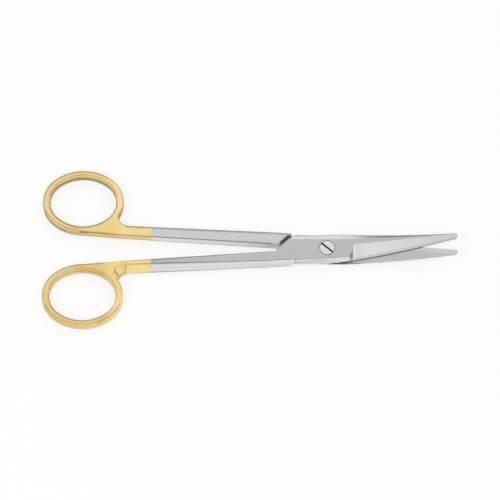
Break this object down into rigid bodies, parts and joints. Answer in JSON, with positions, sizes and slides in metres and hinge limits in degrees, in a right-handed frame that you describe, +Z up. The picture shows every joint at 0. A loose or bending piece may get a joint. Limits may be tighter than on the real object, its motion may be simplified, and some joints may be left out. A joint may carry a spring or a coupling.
{
  "type": "dissecting scissors",
  "caption": "Curved dissecting scissors with blunt tips, satin steel shanks, gilt oval finger rings and a slotted screw in a lap joint, lying slightly open.",
  "frame": {"origin": "on the joint screw's axis, in the plane that the scissors lie on", "axes": "+X towards the tips, +Z up along the screw, towards its slotted head and the way the blades curve, +Y towards the rear half's finger ring"},
  "size_m": [0.1702, 0.0682, 0.011],
  "materials": {
    "satin_steel": "satin",
    "screw_steel": "satin",
    "hard_metal": "ground"
  },
  "bodies": {
    "rear": {"rear_half": "satin_steel", "rear_insert": "hard_metal", "joint_screw": "screw_steel"},
    "front": {"front_half": "satin_steel", "front_insert": "hard_metal"}
  },
  "joints": [
    {"name": "blade_pivot", "type": "hinge", "parent": "rear", "child": "front", "pos_m": [0, 0, 0.0028], "axis": [0, 0, 1], "range_deg": [-5.2, 60]}
  ]
}
